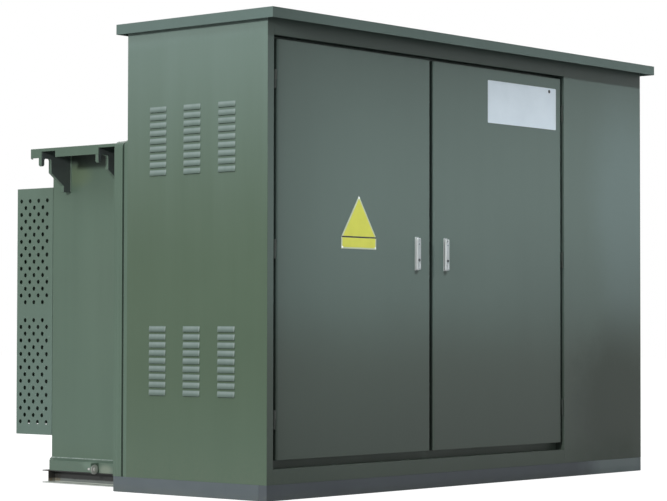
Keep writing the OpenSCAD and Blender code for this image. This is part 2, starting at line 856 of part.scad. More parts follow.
// a row of panels on two header pipes, each with two stubs to the tank
module radiator(number) {
    x = (number - (rad_count + 1) / 2) * rad_pitch;
    color(green) place() translate([x, 0, 0]) {
        for (i = [0 : fin_count - 1])
            translate([(i - (fin_count - 1) / 2) * fin_pitch, 0, 0]) radiator_panel();
        for (z = [rad_z0 + header_in, rad_z1 - header_in]) {
            translate([-rad_w / 2, tank_y1 + header_y, z]) rotate([0, 90, 0]) cylinder(h = rad_w, r = header_r);
            for (stub_x = [-stub_span / 2, stub_span / 2])
                translate([stub_x, tank_y1, z]) rotate([-90, 0, 0]) cylinder(h = header_y, r = stub_r);
        }
    }
}

// ---- radiator guards ----

// one row of holes at height z, every other row shifted by half a pitch
module guard_row(z, shifted) {
    for (i = [0 : hole_columns - 1 - (shifted ? 1 : 0)])
        translate([0, guard_y1 - hole_edge - (i + (shifted ? 0.5 : 0)) * hole_pitch, z])
            rotate([0, 90, 0]) cylinder(h = 2 * (guard_t + over), r = hole_r, center = true);
}

module guard() {
    difference() {
        block([-guard_x, guard_y0, guard_z0], [-guard_x + guard_fold, guard_y1, guard_z1]);
        block([-guard_x + guard_t, guard_y0 + guard_t, guard_z0 - over],
              [-guard_x + guard_fold + over, guard_y1 - guard_t, guard_z1 + over]);
        translate([-guard_x + guard_t / 2, 0, 0]) for (row = [0 : guard_rows - 1]) {
            guard_row(guard_z1 - row_edge - row * row_pitch, row % 2 == 1);
            guard_row(guard_z0 + row_edge + row * row_pitch, row % 2 == 1);
        }
    }
}

module guard_left() { color(green) place() guard(); }

module guard_right() { color(green) place() mirror([1, 0, 0]) guard(); }

module guard_brackets() {
    color(green) place() both_sides()
        for (z = [guard_z0 + row_edge, guard_z1 - row_edge - bracket_h]) {
            block([-guard_x + guard_t, tank_y1, z], [-guard_x + guard_t + bracket_t, guard_y0, z + bracket_h]);
            block([-guard_x + guard_t, tank_y1, z],
                  [-guard_x + guard_t + bracket_leg, tank_y1 + bracket_t, z + bracket_h]);
        }
}

base_front();
base_sides();
base_rear();
cabinet_floor();
side_wall_left();
side_wall_right();
rear_wall();
roof();
corner_post();
top_rail();
sill();
fixed_panel();
door_stop();
door_left();
door_right();
frame_hinges();
door_hinges_left();
door_hinges_right();
handle_base_left();
handle_base_right();
handle_lever_left();
handle_lever_right();
sign_plate();
name_plate();
flange_frame();
flange_seal();
tank_front_plate();
tank_body();
tank_lid();
tank_skirt();
lifting_lugs_left();
lifting_lugs_right();
side_channels();
cross_channels();
earth_lug();
earth_bolt();
radiator(1);  // radiator_1
radiator(2);  // radiator_2
radiator(3);  // radiator_3
radiator(4);  // radiator_4
radiator(5);  // radiator_5
guard_left();
guard_right();
guard_brackets();
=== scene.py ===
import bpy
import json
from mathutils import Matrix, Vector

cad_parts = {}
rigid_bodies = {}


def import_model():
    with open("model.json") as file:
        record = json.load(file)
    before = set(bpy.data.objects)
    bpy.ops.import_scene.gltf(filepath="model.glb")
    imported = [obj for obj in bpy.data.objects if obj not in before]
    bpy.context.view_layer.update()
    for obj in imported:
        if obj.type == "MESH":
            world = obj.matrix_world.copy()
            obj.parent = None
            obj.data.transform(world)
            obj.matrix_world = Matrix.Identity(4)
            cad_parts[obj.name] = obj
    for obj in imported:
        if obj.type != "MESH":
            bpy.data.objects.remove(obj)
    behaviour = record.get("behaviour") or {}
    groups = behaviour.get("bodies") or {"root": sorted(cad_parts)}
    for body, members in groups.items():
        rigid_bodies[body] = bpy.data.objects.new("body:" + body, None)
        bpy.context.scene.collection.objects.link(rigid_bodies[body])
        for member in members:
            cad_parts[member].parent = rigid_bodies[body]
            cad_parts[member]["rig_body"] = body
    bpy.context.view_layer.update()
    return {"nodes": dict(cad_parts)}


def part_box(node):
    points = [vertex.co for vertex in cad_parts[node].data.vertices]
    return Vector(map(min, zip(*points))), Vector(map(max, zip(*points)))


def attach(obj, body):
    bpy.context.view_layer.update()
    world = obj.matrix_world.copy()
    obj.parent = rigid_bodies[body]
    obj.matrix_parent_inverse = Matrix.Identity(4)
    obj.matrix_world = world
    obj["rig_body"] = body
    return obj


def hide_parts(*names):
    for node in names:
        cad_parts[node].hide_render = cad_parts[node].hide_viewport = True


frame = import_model()

import json
import math

import bpy
from mathutils import Matrix, Vector

nodes = frame["nodes"]
wallLow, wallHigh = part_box("side_wall_left")
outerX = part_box("base_front")[0].x
frontY = wallLow.y
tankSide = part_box("tank_body")[0].x
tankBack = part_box("tank_body")[1].y
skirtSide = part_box("tank_skirt")[0].x
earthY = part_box("earth_lug")[0].y
foldAngle = 35


# selecting and shaping

def choose(*objects):
    # these objects selected and nothing else, the first one active
    bpy.ops.object.select_all(action="DESELECT")
    for each in objects:
        each.select_set(True)
    bpy.context.view_layer.objects.active = objects[0]


def pick(made, kind, test):
    # edit mode, with the faces or edges that pass the test selected
    choose(made)
    bpy.ops.object.mode_set(mode="EDIT")
    bpy.ops.mesh.select_mode(type=kind)
    bpy.ops.mesh.select_all(action="DESELECT")
    bpy.ops.object.mode_set(mode="OBJECT")
    mesh = made.data
    if kind == "FACE":
        for face in mesh.polygons:
            face.select = test(face.center, face.normal)
    else:
        for edge in mesh.edges:
            edge.select = test(*[mesh.vertices[end].co for end in edge.vertices])
    bpy.ops.object.mode_set(mode="EDIT")


def editAll(made):
    choose(made)
    bpy.ops.object.mode_set(mode="EDIT")
    bpy.ops.mesh.select_mode(type="EDGE")
    bpy.ops.mesh.select_all(action="SELECT")


def leaveEdit():
    bpy.ops.object.mode_set(mode="OBJECT")


def settle(made, name):
    # the place goes into the mesh, and the object stays at the origin
    choose(made)
    bpy.ops.object.transform_apply(location=True, rotation=True, scale=True)
    made.name = name
    made.data.name = name
    return made


def modify(made, kind, **settings):
    choose(made)
    modifier = made.modifiers.new(kind.title(), kind)
    for name, value in settings.items():
        setattr(modifier, name, value)
    bpy.ops.object.modifier_apply(modifier=modifier.name)


def smoothFaces(made, angle=62):
    choose(made)
    bpy.ops.object.shade_smooth_by_angle(angle=math.radians(angle))
    return made


def roundEdges(made, width, segments=2):
    # small folds and mill edges, with the flats kept flat
    modify(made, "BEVEL", width=width, segments=segments, limit_method="ANGLE",
           angle_limit=math.radians(foldAngle), use_clamp_overlap=True)
    smoothFaces(made)
    modify(made, "WEIGHTED_NORMAL", weight=80, keep_sharp=True)


def cuboid(name, low, high):
    low, high = Vector(low), Vector(high)
    bpy.ops.object.select_all(action="DESELECT")
    bpy.ops.mesh.primitive_cube_add(size=1, location=(low + high) / 2, scale=high - low)
    return settle(bpy.context.object, name)


def rod(name, start, end, radius, sides):
    start, end = Vector(start), Vector(end)
    turn = (end - start).to_track_quat("Z", "Y").to_euler()
    bpy.ops.object.select_all(action="DESELECT")
    bpy.ops.mesh.primitive_cylinder_add(vertices=sides, radius=radius, depth=(end - start).length,
                                        location=(start + end) / 2, rotation=turn)
    return settle(bpy.context.object, name)


def copied(made, name, shift):
    choose(made)
    bpy.ops.object.duplicate()
    twin = bpy.context.object
    twin.location = shift
    return settle(twin, name)


def mirrored(made, name):
    # the same piece on the other side of the middle plane, its faces turned out again
    choose(made)
    bpy.ops.object.duplicate()
    twin = settle(bpy.context.object, name)
    editAll(twin)
    bpy.ops.transform.resize(value=(-1, 1, 1), center_override=(0, 0, 0))
    bpy.ops.mesh.flip_normals()
    leaveEdit()
    return twin


def joined(name, pieces):
    choose(*pieces)
    bpy.ops.object.join()
    return settle(bpy.context.object, name)


def cutBy(made, cutter):
    modify(made, "BOOLEAN", operation="DIFFERENCE", solver="EXACT", object=cutter)
    bpy.data.objects.remove(cutter)


def finishPiece(made, body, slot, finish, *replaced):
    made.data.materials.clear()
    made.data.materials.append(finish)
    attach(made, body)
    if replaced:
        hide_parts(*replaced)


def bodyOf(node):
    return nodes[node]["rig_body"]


# materials

class Wire:
    # a socket on its way through a material; sums and products of it add Math nodes
    def __init__(self, tree, socket=None):
        self.tree = tree
        self.socket = socket

    def node(self, kind, settings=None, sockets=None, out=0):
        made = self.tree.nodes.new("ShaderNode" + kind)
        for name, value in (settings or {}).items():
            setattr(made, name, value)
        for name, value in (sockets or {}).items():
            if isinstance(value, Wire):
                self.tree.links.new(value.socket, made.inputs[name])
            else:
                made.inputs[name].default_value = value
        return Wire(self.tree, made.outputs[out])

    def math(self, operation, first, second):
        return self.node("Math", {"operation": operation}, {0: first, 1: second})

    def __add__(self, other):
        return self.math("ADD", self, other)

    def __radd__(self, other):
        return self.math("ADD", other, self)

    def __sub__(self, other):
        return self.math("SUBTRACT", self, other)

    def __rsub__(self, other):
        return self.math("SUBTRACT", other, self)

    def __mul__(self, other):
        return self.math("MULTIPLY", self, other)

    def __rmul__(self, other):
        return self.math("MULTIPLY", other, self)

    def __pow__(self, other):
        return self.math("POWER", self, other)


def ramp(value, low, high):
    # 0 below low and 1 above high, or the other way round where low is the larger
    return value.node("MapRange", {"interpolation_type": "SMOOTHSTEP"},
                      {"Value": value, "From Min": low, "From Max": high})


def noise(start, place, scale, detail=3, roughness=0.55):
    return start.node("TexNoise", None, {"Vector": place, "Scale": scale, "Detail": detail,
                                         "Roughness": roughness})


def stretched(start, place, factors):
    return start.node("VectorMath", {"operation": "MULTIPLY"}, {0: place, 1: factors})


def mixed(start, factor, first, second):
    return start.node("Mix", {"data_type": "RGBA"}, {0: factor, 6: first, 7: second}, 2)


def colour(red, green, blue):
    return (red, green, blue, 1)


def newFinish(name):
    # a material, its first wire and the place on the object
    material = bpy.data.materials.new(name)
    material.use_nodes = True
    start = Wire(material.node_tree)
    return material, start, start.node("TexCoord", out=3)


def along(place, axis):
    # one part of the place: 0 across, 1 from front to back, 2 above the ground
    return place.node("SeparateXYZ", None, {0: place}, axis)


def feed(material, values):
    # constants are set on the shader's own sockets, wires are linked to them
    shader = material.node_tree.nodes["Principled BSDF"]
    for name, value in values.items():
        if isinstance(value, Wire):
            material.node_tree.links.new(value.socket, shader.inputs[name])
        else:
            shader.inputs[name].default_value = value
    return material


def bump(start, height, strength, distance):
    return start.node("Bump", None, {"Height": height, "Strength": strength, "Distance": distance})


stainEdge = {"cloud": 0.8, "speck": 0.2, "ragged": 0.9, "outer": 1.0, "inner": 0.3}


def stain(start, place, ragged, spot):
    # full in the middle of a ragged patch at this spot and 0 outside it; some patches are dirt or wear,
    # others painted light and painted shadow
    offset = start.node("VectorMath", {"operation": "SUBTRACT"}, {0: place, 1: spot["at"]})
    scaled = start.node("VectorMath", {"operation": "DIVIDE"}, {0: offset, 1: spot["size"]})
    distance = start.node("VectorMath", {"operation": "LENGTH"}, {0: scaled}, 1)
    edge = distance + stainEdge["ragged"] * (ragged - 0.5)
    return ramp(edge, stainEdge["outer"], stainEdge["inner"]) * spot["amount"]


def enamel(name, settings):
    # sprayed and baked enamel: faint mottling, runs of old rain, a painted sky reflection that turns it
    # paler and bluer high up, and a different tone towards the foot, which on the front is painted
    # shade, and dust near the ground
    material, start, place = newFinish(name)
    height = along(place, 2)
    cloud = noise(start, place, settings["cloudScale"], detail=4)
    run = noise(start, stretched(start, place, settings["runStretch"]), settings["runScale"])
    shade = settings["mottle"] * (cloud - 0.5) + settings["runs"] * (run - 0.5) + 0.5
    paint = mixed(start, ramp(shade, 0, 1), settings["dark"], settings["light"])
    # painted sky reflection: paler and bluer high up, used on the side walls
    chalk = ramp(height + settings["chalkRagged"] * (run - 0.5),
                 settings["chalkLow"], settings["chalkTop"]) ** settings["chalkCurve"]
    paint = mixed(start, chalk * settings["chalk"], paint, settings["chalkColour"])
    # a different tone towards the foot; where it darkens the front, this is painted shade
    grime = ramp(height + settings["grimeRagged"] * (cloud - 0.5),
                 settings["grimeTop"], settings["grimeLow"])
    paint = mixed(start, grime * settings["grime"], paint, settings["grimeColour"])
    speck = noise(start, place, settings["speckScale"], detail=5, roughness=0.7)
    dust = ramp(height, settings["dustTop"], 0.0)
    dust = dust * ramp(speck + settings["dustRuns"] * run, settings["dustFrom"], settings["dustFull"])
    paint = mixed(start, dust * settings["dust"], paint, settings["dustColour"])
    if settings["lip"]:
        # painted shade along the lower edge of a hood and again at its top, where it meets the wall
        rise = start.node("Attribute", {"attribute_name": "rise"}, None, 2)
        lips = 1 - ramp(rise, *settings["lipLow"]) * ramp(rise, *settings["lipTop"])
        paint = mixed(start, lips * settings["lip"], paint, settings["lipColour"])
    # patches of another colour, some of them painted light and painted shadow (see each coat)
    for spot in settings["stains"]:
        ragged = stainEdge["cloud"] * cloud + stainEdge["speck"] * speck
        paint = mixed(start, stain(start, place, ragged, spot), paint, spot["colour"])
    peel = noise(start, place, settings["peelScale"], detail=2) * settings["peel"]
    peel = peel + noise(start, place, settings["waveScale"], detail=2) * settings["wave"]
    return feed(material, {
        "Base Color": paint,
        "Roughness": settings["roughness"] + settings["matt"] * cloud + settings["dustMatt"] * dust,
        "Specular IOR Level": settings["specular"],
        "Normal": bump(start, peel, settings["bump"], settings["deep"]),
    })


# the tank's paint, and the other coats as they differ from it
tankSettings = {
    "dark": colour(0.108, 0.165, 0.124), "light": colour(0.136, 0.206, 0.156),
    "cloudScale": 1.6, "runStretch": (5.0, 5.0, 0.35), "runScale": 1.6,
    "mottle": 0.9, "runs": 0.8,
    "chalk": 0.0, "chalkColour": colour(0.262, 0.350, 0.335),
    "chalkLow": 0.9, "chalkTop": 2.5, "chalkRagged": 0.25, "chalkCurve": 1.3,
    "grime": 0.05, "grimeColour": colour(0.050, 0.060, 0.045),
    "grimeTop": 1.2, "grimeLow": 0.2, "grimeRagged": 0.10,
    "dust": 0.25, "dustColour": colour(0.22, 0.24, 0.19), "dustTop": 0.30, "dustRuns": 0.35,
    "dustFrom": 0.42, "dustFull": 0.85, "speckScale": 38,
    "roughness": 0.38, "matt": 0.10, "dustMatt": 0.25, "specular": 0.30,
    "peelScale": 260, "peel": 0.35, "waveScale": 2.2, "wave": 2.2, "bump": 0.35, "deep": 0.001,
    "lip": 0.0, "lipColour": colour(0, 0, 0), "lipLow": (0.0, 0.85), "lipTop": (1.2, 0.8),
    "stains": (),
}


def coat(name, **changes):
    return enamel(name, {**tankSettings, **changes})


tankEnamel = coat("tankEnamel", grime=0.45, grimeColour=colour(0.150, 0.225, 0.175))
# paler under the lid near the rear lug, a painted shadow of the lid right under it, and faintly paler
# halfway up
bodyEnamel = coat("bodyEnamel", grime=0.45, grimeColour=colour(0.150, 0.225, 0.175), stains=(
    {"at": (tankSide, 0.590, 1.600), "size": (0.3, 0.14, 0.085), "amount": 0.75,
     "colour": colour(0.165, 0.226, 0.140)},
    {"at": (tankSide, 0.450, 1.725), "size": (0.3, 0.90, 0.120), "amount": 0.75,
     "colour": colour(0.034, 0.033, 0.036)},
    {"at": (tankSide, 0.40, 1.00), "size": (0.3, 0.30, 0.60), "amount": 0.25,
     "colour": colour(0.150, 0.205, 0.160)}))
# the side walls carry a painted sky reflection, paler and bluer high up, and a painted highlight in a
# band just under the roof
wallEnamel = coat("wallEnamel", dark=colour(0.084, 0.132, 0.084), light=colour(0.108, 0.163, 0.108),
                  chalk=0.59, runs=0.6, cloudScale=1.2, dust=0.20,
                  grimeTop=0.65, grimeLow=0.05, grime=0.60, grimeColour=colour(0.122, 0.182, 0.132),
                  stains=({"at": (0, -0.4, 2.36), "size": (9, 9, 0.23), "amount": 0.50,
                           "colour": colour(0.300, 0.395, 0.375)},))
roofEnamel = coat("roofEnamel", dark=colour(0.130, 0.185, 0.168), light=colour(0.150, 0.215, 0.196))
# painted shade: a darker copy of the roof paint for its front-facing faces
roofFront = coat("roofFront", dark=colour(0.096, 0.140, 0.124), light=colour(0.112, 0.162, 0.145))
guardEnamel = coat("guardEnamel", dark=colour(0.130, 0.196, 0.152), light=colour(0.156, 0.228, 0.180),
                   grimeTop=1.2, grimeLow=0.35, grime=0.8, grimeColour=colour(0.172, 0.250, 0.215))
# the front is bluer than the side walls, a painted sky reflection; painted shade darkens it below the
# handles, standing in for a dark reflection of the ground; the fixed panel has a painted dark
# reflection low down and painted light high up
frontEnamel = coat("frontEnamel", dark=colour(0.098, 0.136, 0.120), light=colour(0.111, 0.152, 0.134),
                   runs=0.5, grimeTop=1.02, grimeLow=0.55, grime=0.50, dust=0.15,
                   grimeColour=colour(0.058, 0.070, 0.053), stains=(
                       {"at": (1.34, frontY, 0.38), "size": (0.62, 0.3, 0.66), "amount": 0.78,
                        "colour": colour(0.022, 0.036, 0.025)},
                       {"at": (1.42, frontY, 1.50), "size": (0.46, 0.3, 0.95), "amount": 0.45,
                        "colour": colour(0.155, 0.212, 0.208)}))
# painted shade: hinges near-black so they stay dark in the shaded door gaps
hingeEnamel = coat("hingeEnamel", dark=colour(0.026, 0.036, 0.030), light=colour(0.044, 0.058, 0.050))
# pressed hoods, painted pale as a highlight where their slopes catch the light, with painted shade
# along their lower edges and where they meet the wall
hoodEnamel = coat("hoodEnamel", dark=colour(0.250, 0.325, 0.305), light=colour(0.335, 0.415, 0.395),
                  cloudScale=9.0, runScale=6.0, roughness=0.30, lip=0.90,
                  lipColour=colour(0.098, 0.146, 0.120))
# painted shade: a darker, bluer copy of the tank paint for the lug faces that face front, back and up
lugEnamel = coat("lugEnamel", dark=colour(0.096, 0.112, 0.112), light=colour(0.116, 0.134, 0.134))
baseCoat = {"cloudScale": 3.0, "runStretch": (3.0, 3.0, 6.0), "runScale": 2.0, "grime": 0.0,
            "dustTop": 0.05, "roughness": 0.5, "specular": 0.25}
basePaint = coat("basePaint", dark=colour(0.128, 0.154, 0.170), light=colour(0.154, 0.182, 0.198),
                 **baseCoat)
# the front member is a darker copy of the base paint, painted shade, and is paler at its right end
baseFront = coat("baseFront", dark=colour(0.104, 0.120, 0.136), light=colour(0.124, 0.142, 0.158),
                 stains=({"at": (1.34, frontY, 0.04), "size": (0.42, 0.3, 0.3), "amount": 0.9,
                          "colour": colour(0.260, 0.312, 0.318)},), **baseCoat)
# paint worn thin on a weld, down to a pale primer
wornEnamel = coat("wornEnamel", dark=colour(0.230, 0.310, 0.270), light=colour(0.560, 0.640, 0.600),
                  cloudScale=14.0, runStretch=(30.0, 30.0, 30.0), mottle=1.6, runs=1.6)
# dust before the earthing terminal, and scuffed paint behind it
skirtEnamel = coat("skirtEnamel", grime=0.45, grimeColour=colour(0.165, 0.245, 0.200), stains=(
    {"at": (skirtSide, earthY - 0.050, 0.080), "size": (0.3, 0.075, 0.045), "amount": 0.8,
     "colour": colour(0.330, 0.380, 0.310)},
    {"at": (skirtSide, earthY + 0.075, 0.105), "size": (0.3, 0.060, 0.035), "amount": 0.6,
     "colour": colour(0.230, 0.320, 0.260)}))


def rustedPrimer(name, settings):
    # primer going rusty towards the back, where the pale rear end is also painted light, with painted
    # shadow of the upper flange above and pale along the bottom edge
    material, start, place = newFinish(name)
    back, height = along(place, 1), along(place, 2)
    cloud = noise(start, place, settings["cloudScale"], detail=5, roughness=0.65)
    patch = noise(start, place, settings["patchScale"], detail=6, roughness=0.7)
    # paler rust towards the rear end, which also stands in for painted light there
    rearward = ramp(back, settings["rustBack"], settings["rustEnd"])
    rust = ramp(patch + settings["rustCloud"] * cloud + settings["rustRear"] * rearward,
                settings["rustFrom"], settings["rustFull"])
    primer = mixed(start, cloud, settings["dark"], settings["light"])
    grain = noise(start, place, settings["grainScale"])
    rusty = mixed(start, grain, settings["rustDark"], settings["rustLight"])
    # painted shadow of the upper flange on the web
    soot = ramp(height + settings["sootRagged"] * (patch - 0.5),
                settings["sootLow"], settings["sootTop"])
    steel = mixed(start, ramp(height, settings["edgeTop"], settings["edgeLow"]),
                  mixed(start, rust, primer, rusty), settings["edgeColour"])
    return feed(material, {
        "Base Color": mixed(start, soot * settings["soot"], steel, settings["sootColour"]),
        "Roughness": settings["roughness"] + settings["rustMatt"] * rust,
        "Specular IOR Level": settings["specular"],
        "Normal": bump(start, patch + rust, settings["bump"], settings["deep"]),
    })


channelSteel = rustedPrimer("channelSteel", {
    "dark": colour(0.185, 0.207, 0.200), "light": colour(0.285, 0.308, 0.298),
    "rustDark": colour(0.150, 0.105, 0.065), "rustLight": colour(0.360, 0.310, 0.215),
    "rustFrom": 0.88, "rustFull": 1.14, "rustCloud": 0.5,
    "rustRear": 0.45, "rustBack": tankBack - 0.16, "rustEnd": tankBack,
    "sootLow": 0.019, "sootTop": 0.028, "sootRagged": 0.008,
    "soot": 0.92, "sootColour": colour(0.030, 0.030, 0.030),
    "edgeTop": 0.011, "edgeLow": 0.007, "edgeColour": colour(0.600, 0.640, 0.590),
    "cloudScale": 9, "patchScale": 26, "grainScale": 90, "roughness": 0.55, "rustMatt": 0.3,
    "specular": 0.3, "bump": 0.5, "deep": 0.0006,
})


brushed = {"lineMatt": 0.18, "smudgeMatt": 0.12, "smudgeScale": 30, "deep": 0.0003}


def brightMetal(name, settings):
    # satin or brushed metal, with fine lines along one direction
    material, start, place = newFinish(name)
    lines = noise(start, stretched(start, place, settings["brush"]), 1.0, detail=4, roughness=0.6)
    smudge = noise(start, place, brushed["smudgeScale"])
    return feed(material, {
        "Base Color": mixed(start, smudge, settings["dark"], settings["light"]),
        "Metallic": settings["metallic"],
        "Roughness": settings["roughness"] + brushed["lineMatt"] * (lines - 0.5)
                     + brushed["smudgeMatt"] * smudge,
        "Normal": bump(start, lines, settings["bump"], brushed["deep"]),
    })


handleMetal = brightMetal("handleMetal", {
    "dark": colour(0.80, 0.83, 0.84), "light": colour(0.92, 0.94, 0.95), "metallic": 0.1,
    "brush": (900, 900, 40), "roughness": 0.34, "bump": 0.15,
})
# painted shade: a darker copy of the handle metal for the faces that face front
handleFront = brightMetal("handleFront", {
    "dark": colour(0.33, 0.36, 0.37), "light": colour(0.47, 0.50, 0.51), "metallic": 0.2,
    "brush": (900, 900, 40), "roughness": 0.40, "bump": 0.15,
})
boltSteel = brightMetal("boltSteel", {
    "dark": colour(0.46, 0.46, 0.44), "light": colour(0.74, 0.74, 0.71), "metallic": 0.4,
    "brush": (300, 300, 300), "roughness": 0.38, "bump": 0.3,
})


plateCoat = {"scratchStretch": (30, 30, 700), "scratchFrom": 0.66, "scratchFull": 0.74,
             "scratches": 0.25, "cloudMatt": 0.15, "specular": 0.4, "bump": 0.08, "deep": 0.0003}


def plateFinish(name, settings):
    # a printed or anodised plate: even colour, a little dust and fine scratches
    material, start, place = newFinish(name)
    cloud = noise(start, place, settings["cloudScale"], detail=4)
    lines = noise(start, stretched(start, place, plateCoat["scratchStretch"]), 1.0, roughness=0.7)
    scratch = ramp(lines, plateCoat["scratchFrom"], plateCoat["scratchFull"])
    paint = mixed(start, cloud, settings["dark"], settings["light"])
    return feed(material, {
        "Base Color": mixed(start, scratch * plateCoat["scratches"], paint, settings["scratch"]),
        "Metallic": settings["metallic"],
        "Roughness": settings["roughness"] + plateCoat["cloudMatt"] * cloud,
        "Specular IOR Level": plateCoat["specular"],
        "Normal": bump(start, lines, plateCoat["bump"], plateCoat["deep"]),
    })


yellowField = plateFinish("yellowField", {
    "dark": colour(0.58, 0.58, 0.075), "light": colour(0.70, 0.71, 0.11),
    "scratch": colour(0.72, 0.72, 0.36), "cloudScale": 14, "metallic": 0.0, "roughness": 0.30,
})
signEdge = plateFinish("signEdge", {
    "dark": colour(0.46, 0.52, 0.38), "light": colour(0.58, 0.63, 0.48),
    "scratch": colour(0.70, 0.72, 0.62), "cloudScale": 20, "metallic": 0.1, "roughness": 0.35,
})
palePlate = plateFinish("palePlate", {
    "dark": colour(0.60, 0.68, 0.74), "light": colour(0.72, 0.80, 0.86),
    "scratch": colour(0.80, 0.86, 0.90), "cloudScale": 7, "metallic": 0.1, "roughness": 0.34,
})


def rubberFinish(name, settings):
    # rubber gone chalky in patches
    material, start, place = newFinish(name)
    chalk = noise(start, place, settings["chalkScale"], detail=4, roughness=0.7)
    return feed(material, {
        "Base Color": mixed(start, chalk, settings["dark"], settings["light"]),
        "Roughness": settings["roughness"] + settings["chalkMatt"] * chalk,
        "Normal": bump(start, chalk, settings["bump"], settings["deep"]),
    })


sealRubber = rubberFinish("sealRubber", {
    "dark": colour(0.016, 0.026, 0.020), "light": colour(0.040, 0.056, 0.044),
    "chalkScale": 40, "chalkMatt": 0.2, "roughness": 0.7, "bump": 0.3, "deep": 0.0005,
})


def darkCore(name, settings):
    # dark worn metal, for locks, screws and the joint in the warning plate
    material, start, place = newFinish(name)
    wear = noise(start, place, settings["wearScale"], detail=2)
    return feed(material, {
        "Base Color": mixed(start, wear, settings["dark"], settings["light"]),
        "Metallic": settings["metallic"],
        "Roughness": settings["roughness"] + settings["wearMatt"] * wear,
    })


lockCore = darkCore("lockCore", {
    "dark": colour(0.020, 0.020, 0.022), "light": colour(0.060, 0.060, 0.062),
    "wearScale": 400, "wearMatt": 0.2, "roughness": 0.4, "metallic": 0.6,
})
print("materials made")


# sheet and rolled steel from the frame, with its folds and mill edges rounded

merging = {"distance": 0.00001, "flat": 0.4}


def looseCopy(node):
    # a copy of a node's mesh with its corners merged and its flats made whole
    made = nodes[node].copy()
    made.data = nodes[node].data.copy()
    bpy.context.scene.collection.objects.link(made)
    made.parent = None
    for key in list(made.keys()):
        del made[key]
    made.name = node + "_piece"
    editAll(made)
    bpy.ops.mesh.remove_doubles(threshold=merging["distance"])
    bpy.ops.mesh.dissolve_limited(angle_limit=math.radians(merging["flat"]))
    leaveEdit()
    return made


def coatFaces(made, finish, test):
    # a second, darker finish, painted shade, on the faces whose outward direction passes the test
    made.data.materials.append(finish)
    for face in made.data.polygons:
        if test(face.normal):
            face.material_index = 1


def softened(node, width, slot, finish, segments=2, cutters=()):
    # a node's own shape, cut where it's asked and with its edges rounded, in place of the node
    made = looseCopy(node)
    for cutter in cutters:
        cutBy(made, cutter)
    roundEdges(made, width, segments)
    finishPiece(made, bodyOf(node), slot, finish, node)
    if node in secondCoats:
        coatFaces(made, *secondCoats[node])


squarely = 0.7


def facesFront(normal):
    return normal.y < -squarely


def facesAlong(normal):
    return abs(normal.y) > squarely or normal.z > squarely


# painted shade: darker copies of the finish on the faces of these pieces that sit in shade
secondCoats = {
    "roof": (roofFront, facesFront),
    "lifting_lugs_left": (lugEnamel, facesAlong),
    "lifting_lugs_right": (lugEnamel, facesAlong),
    "handle_base_left": (handleFront, facesFront),
    "handle_base_right": (handleFront, facesFront),
    "handle_lever_left": (handleFront, facesFront),
    "handle_lever_right": (handleFront, facesFront),
}
# each piece's edge radius, slot and finish
steelPieces = {
    "roof": (0.0014, "green_enamel", roofEnamel),
    "corner_post": (0.0012, "green_enamel", frontEnamel),
    "top_rail": (0.0012, "green_enamel", frontEnamel),
    "sill": (0.0012, "green_enamel", frontEnamel),
    "fixed_panel": (0.0012, "green_enamel", frontEnamel),
    "door_left": (0.0013, "green_enamel", frontEnamel),
    "door_right": (0.0013, "green_enamel", frontEnamel),
    "flange_frame": (0.0020, "green_enamel", tankEnamel),
    "tank_body": (0.0040, "green_enamel", bodyEnamel),
    "tank_lid": (0.0020, "green_enamel", tankEnamel),
    "tank_skirt": (0.0015, "green_enamel", skirtEnamel),
    "lifting_lugs_left": (0.0025, "green_enamel", tankEnamel),
    "lifting_lugs_right": (0.0025, "green_enamel", tankEnamel),
    "guard_left": (0.0008, "green_enamel", guardEnamel),
    "guard_right": (0.0008, "green_enamel", guardEnamel),
    "guard_brackets": (0.0010, "green_enamel", tankEnamel),
    "earth_lug": (0.0012, "green_enamel", tankEnamel),
    "flange_seal": (0.0020, "seal_rubber", sealRubber),
    "base_front": (0.0018, "base_paint", baseFront),
    "base_sides": (0.0018, "base_paint", basePaint),
    "base_rear": (0.0018, "base_paint", basePaint),
    "side_channels": (0.0016, "channel_steel", channelSteel),
    "cross_channels": (0.0016, "channel_steel", channelSteel),
    "earth_bolt": (0.0008, "bolt_steel", boltSteel),
    "handle_base_left": (0.0010, "handle_metal", handleMetal),
    "handle_base_right": (0.0010, "handle_metal", handleMetal),
}
for node, (width, slot, finish) in steelPieces.items():
    # the guards' many holes do with one segment
    softened(node, width, slot, finish, segments=1 if node.startswith("guard_") else 2)

plainPieces = {
    "rear_wall": tankEnamel,
    "door_stop": frontEnamel,
    "cabinet_floor": basePaint,
    "frame_hinges": hingeEnamel,
    "door_hinges_left": hingeEnamel,
    "door_hinges_right": hingeEnamel,
}
for node, finish in plainPieces.items():
    nodes[node].data.materials.clear()
    nodes[node].data.materials.append(finish)
print("steel pieces softened:", len(steelPieces))


# the tank's front plate is built up of layers, and the joints between them show as fine lines

def frontPlate():
    settings = {"layers": (0.019, 0.042), "width": 0.0016, "depth": 0.0016, "corner": 0.040,
                "below": 0.01, "round": 0.0008}
    low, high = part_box("tank_front_plate")
    cutters = []
    for layer in settings["layers"]:
        y0 = high.y - layer - settings["width"] / 2
        y1 = high.y - layer + settings["width"] / 2
        for side in (low.x, high.x):
            cutters.append(cuboid("seam", (side - settings["depth"], y0, low.z - settings["below"]),
                                  (side + settings["depth"], y1, high.z - settings["corner"])))
        cutters.append(cuboid("seam", (low.x + settings["corner"], y0, high.z - settings["depth"]),
                              (high.x - settings["corner"], y1, high.z + settings["depth"])))
    softened("tank_front_plate", settings["round"], "green_enamel", tankEnamel,
             segments=1, cutters=cutters)


frontPlate()


# side walls with their pressed louvres

